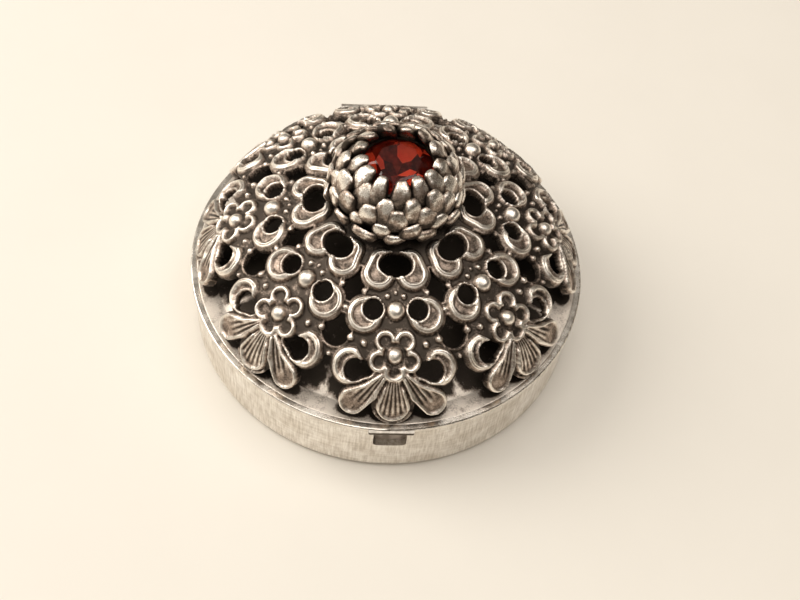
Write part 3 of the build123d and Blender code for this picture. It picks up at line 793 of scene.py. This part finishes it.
def build_gem(glass, back):
    """Round brilliant cut from a block by planes, foiled below its girdle."""
    radius = 4.4
    table_radius = 2.5
    facets = 8
    girdle = 0.25
    crown = 1.25
    pavilion = 3.75
    crown_step = 0.08
    girdle_step = 0.10
    tip_step = 0.20
    tip_cut = 0.55
    culet = FLOWER_BASE + CUP_FLOOR + STONE_CLEARANCE
    girdle_low = culet + pavilion
    girdle_high = girdle_low + girdle
    mesh = bmesh.new()
    sides = 2 * facets
    apothem = radius * math.cos(math.pi / sides)
    corners = [2 * math.pi * k / sides for k in range(sides)]
    ring = [(radius * math.cos(turn), radius * math.sin(turn)) for turn in corners]
    low = [mesh.verts.new((x, y, culet)) for x, y in ring]
    high = [mesh.verts.new((x, y, girdle_high + crown)) for x, y in ring]
    mesh.faces.new(low[::-1])
    mesh.faces.new(high)
    for k in range(sides):
        m = (k + 1) % sides
        mesh.faces.new((low[k], low[m], high[m], high[k]))
    crown_slope = math.atan2(crown, apothem - table_radius)
    pavilion_slope = math.atan2(pavilion, apothem)
    rows = (
        (facets, crown_slope, 1, apothem, girdle_high, 0.5),
        (sides, crown_slope + crown_step, 1, apothem, girdle_high, 0.5),
        (facets, pavilion_slope, -1, apothem, girdle_low, 0.5),
        (sides, pavilion_slope + girdle_step, -1, apothem, girdle_low, 0.5),
        (facets, pavilion_slope - tip_step, -1, 0.0, culet + tip_cut, 0.0),
    )
    for count, slope, upward, reach, level, phase in rows:
        for step in range(count):
            turn = 2 * math.pi * (step + phase) / count
            along_x = math.cos(turn)
            along_y = math.sin(turn)
            outward = math.sin(slope)
            normal = Vector((outward * along_x, outward * along_y, upward * math.cos(slope)))
            touch = Vector((reach * along_x, reach * along_y, level))
            parts = mesh.verts[:] + mesh.edges[:] + mesh.faces[:]
            cut = bmesh.ops.bisect_plane(
                mesh, geom=parts, dist=1e-5, plane_co=touch, plane_no=normal, clear_outer=True
            )
            edges = [e for e in cut["geom_cut"] if isinstance(e, bmesh.types.BMEdge)]
            if len(edges) > 2:
                bmesh.ops.contextual_create(mesh, geom=edges)
    bmesh.ops.remove_doubles(mesh, verts=mesh.verts, dist=1e-4)
    bmesh.ops.recalc_face_normals(mesh, faces=mesh.faces)
    # Random tone for each facet of the foil: painted highlights and painted dark reflections.
    tone = mesh.faces.layers.float.new("tone")
    local = np.random.default_rng(8)
    for face in mesh.faces:
        face.material_index = 1 if face.normal.z < -0.05 else 0
        face[tone] = local.choice((0.03, 0.14, 0.55, 1.0))
    bmesh.ops.scale(mesh, vec=(MM, MM, MM), verts=mesh.verts)
    data = bpy.data.meshes.new("stone")
    mesh.to_mesh(data)
    mesh.free()
    data.materials.append(glass)
    data.materials.append(back)
    obj = bpy.data.objects.new("stone", data)
    bpy.context.scene.collection.objects.link(obj)
    return obj


AGED = ((0.074, 0.060, 0.049), (0.46, 0.365, 0.30), (1.0, 0.93, 0.84))

antiqued = oxidised_silver("antiqued_silver", AGED, (0.10, 0.50, 0.94), (0.26, 0.5), 1.3, flutes=True)
petal_metal = oxidised_silver("petal_silver", AGED, (0.34, 0.80, 1.0), (0.20, 0.5), 1.6)
plate_metal = oxidised_silver(
    "satin_silver",
    ((0.058, 0.047, 0.038), (0.385, 0.32, 0.27), (0.90, 0.82, 0.73)),
    (0.20, 0.60, 1.0),
    (0.46, 0.62),
    1.5,
)
skirt_metal = plain_silver("skirt_silver", (0.80, 0.74, 0.67), (0.55, 0.50, 0.45), (0.30, 0.45))
rim_metal = plain_silver("bright_silver", (0.90, 0.85, 0.78), (0.62, 0.57, 0.51), (0.16, 0.34), 500.0)
lip_metal = lip_shade_and_highlight("lip_silver", (0.90, 0.85, 0.78), (0.10, 0.08, 0.065))
hinge_metal = plain_silver("hinge_silver", (0.95, 0.89, 0.82), (0.58, 0.53, 0.48), (0.30, 0.48), 620.0)
# Nearly black, as painted shade on the parts that hold the flower and stone.
dark_metal = plain_silver("dark_silver", (0.10, 0.085, 0.07), (0.03, 0.025, 0.02), (0.35, 0.6))
collar_metal = plain_silver("collar_silver", (0.58, 0.51, 0.45), (0.20, 0.165, 0.14), (0.28, 0.5), 420.0)
wall_metal = brushed_silver("brushed_silver", (1.0, 0.97, 0.92), (0.66, 0.61, 0.55))

# Pieces made here and the nodes they stand for
pieces = [
    (build_filigree(antiqued), "filigree_dome", "antiqued_silver"),
    (build_plate(plate_metal), "lid_plate", "satin_silver"),
    (build_gem(red_glass("red_glass"), foil("stone_foil")), "gem", "red_glass"),
]
for tier in range(5):
    pieces.append((build_tier(tier, petal_metal), f"petal_tier_{tier + 1}", "petal_silver"))
for piece, node, slot in pieces:
    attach(piece, "lid")
    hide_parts(node)

# Finishes of the nodes that stay
node_metals = {
    "base_cup": wall_metal,
    "inner_collar": collar_metal,
    "hinge_leaf_base": hinge_metal,
    "hinge_leaf_lid": hinge_metal,
    "hinge_pin": hinge_metal,
    "lid_rim": rim_metal,
    "thumb_lip": lip_metal,
    "lid_skirt": skirt_metal,
    "flower_calyx": dark_metal,
    "stone_cup": dark_metal,
    "flower_post": dark_metal,
    "rivet_washer": dark_metal,
}
for name, metal in node_metals.items():
    for place in nodes[name].material_slots:
        place.material = metal

# Floor
FLOOR_HALF = 900
floor = new_object(
    "floor",
    [(x * FLOOR_HALF, y * FLOOR_HALF, 0) for x, y in ((-1, -1), (1, -1), (1, 1), (-1, 1))],
    [(0, 1, 2, 3)],
    floor_paper("floor_paper"),
    False,
)


# Light
def area_light(name, place, target, size, power, colour):
    data = bpy.data.lights.new(name, "AREA")
    data.shape = "RECTANGLE"
    data.size, data.size_y = size
    data.energy = power
    data.color = colour
    obj = bpy.data.objects.new(name, data)
    obj.location = place
    obj.rotation_euler = (Vector(target) - Vector(place)).to_track_quat("-Z", "Y").to_euler()
    bpy.context.scene.collection.objects.link(obj)


area_light("key", (-0.32, 0.08, 0.28), (0, 0, 0.01), (0.30, 0.30), 1.11, (1.0, 0.95, 0.88))
area_light("overhead", (0.10, -0.05, 0.60), (0, 0, 0.01), (0.60, 0.60), 2.15, (1.0, 0.95, 0.89))
world = bpy.data.worlds.new("studio")
bpy.context.scene.world = world
world.use_nodes = True
sky = world.node_tree
place = sky.nodes.new("ShaderNodeTexCoord")
toward = sky.nodes.new("ShaderNodeVectorMath")
toward.operation = "DOT_PRODUCT"
toward.inputs[1].default_value = (-0.80, 0.10, 0.59)
sky.links.new(place.outputs["Generated"], toward.inputs[0])
fall = sky.nodes.new("ShaderNodeValToRGB")
fall.color_ramp.elements[0].position = 0.0
fall.color_ramp.elements[0].color = (0.16, 0.135, 0.11, 1)
fall.color_ramp.elements[1].position = 0.95
fall.color_ramp.elements[1].color = (0.90, 0.84, 0.75, 1)
sky.links.new(toward.outputs["Value"], fall.inputs["Fac"])
sky.links.new(fall.outputs["Color"], sky.nodes["Background"].inputs["Color"])
sky.nodes["Background"].inputs["Strength"].default_value = 0.585

# Camera fitted to the photograph
FOCAL_PIXELS = 1285.2
PICTURE_WIDTH = 800
SENSOR_WIDTH = 36
CAMERA_TARGET = (2.216, -0.292, 1.134)
CAMERA_DISTANCE = 171.97
elevation = math.radians(54.97)
azimuth = math.radians(-7.505)
roll = math.radians(7.48)
level_reach = math.cos(elevation)
back = Vector((math.sin(azimuth) * level_reach, -math.cos(azimuth) * level_reach, math.sin(elevation)))
right = Vector((math.cos(azimuth), math.sin(azimuth), 0))
up = back.cross(right)
turned_right = right * math.cos(roll) + up * math.sin(roll)
turned_up = up * math.cos(roll) - right * math.sin(roll)
camera_data = bpy.data.cameras.new("camera")
camera_data.sensor_width = SENSOR_WIDTH
camera_data.lens = FOCAL_PIXELS / PICTURE_WIDTH * SENSOR_WIDTH
camera_data.clip_start = 0.005
camera_data.clip_end = 10
camera = bpy.data.objects.new("camera", camera_data)
spot = Vector(CAMERA_TARGET) * MM + back * CAMERA_DISTANCE * MM
camera.matrix_world = Matrix(
    (
        (turned_right.x, turned_up.x, back.x, spot.x),
        (turned_right.y, turned_up.y, back.y, spot.y),
        (turned_right.z, turned_up.z, back.z, spot.z),
        (0, 0, 0, 1),
    )
)
bpy.context.scene.collection.objects.link(camera)
bpy.context.scene.camera = camera
bpy.context.scene.view_settings.view_transform = "Standard"
